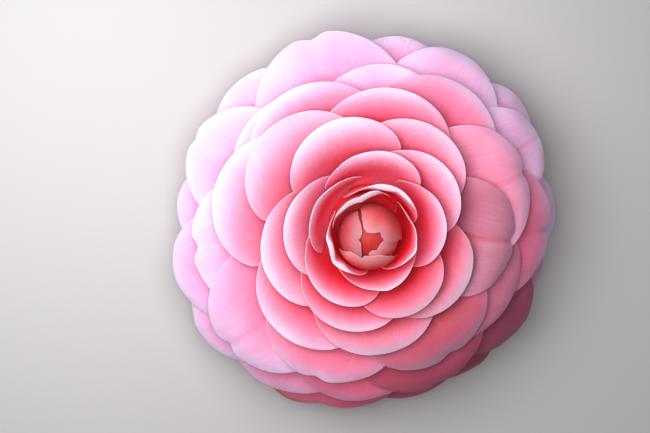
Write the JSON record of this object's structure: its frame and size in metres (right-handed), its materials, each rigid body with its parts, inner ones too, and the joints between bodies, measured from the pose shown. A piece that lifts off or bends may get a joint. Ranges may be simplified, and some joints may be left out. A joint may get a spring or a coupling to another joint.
{
  "type": "camellia flower",
  "caption": "Formal double camellia flower head, pale pink petals overlapping like tiles in a spiral round a half-open bud, on a calyx of sepals.",
  "frame": {"origin": "centre of the flat scar at the foot of the calyx, where the flower was picked and on which it rests", "axes": "+Z along the flower's axis from the scar to the bud, up as it lies; +X and +Y along the surface it lies on"},
  "size_m": [0.0922, 0.0906, 0.0317],
  "materials": {
    "petal": "soft satin, paler at the edges",
    "sepal": "dull, silky"
  },
  "bodies": {
    "root": {"corolla": "petal", "calyx": "sepal"}
  },
  "joints": []
}
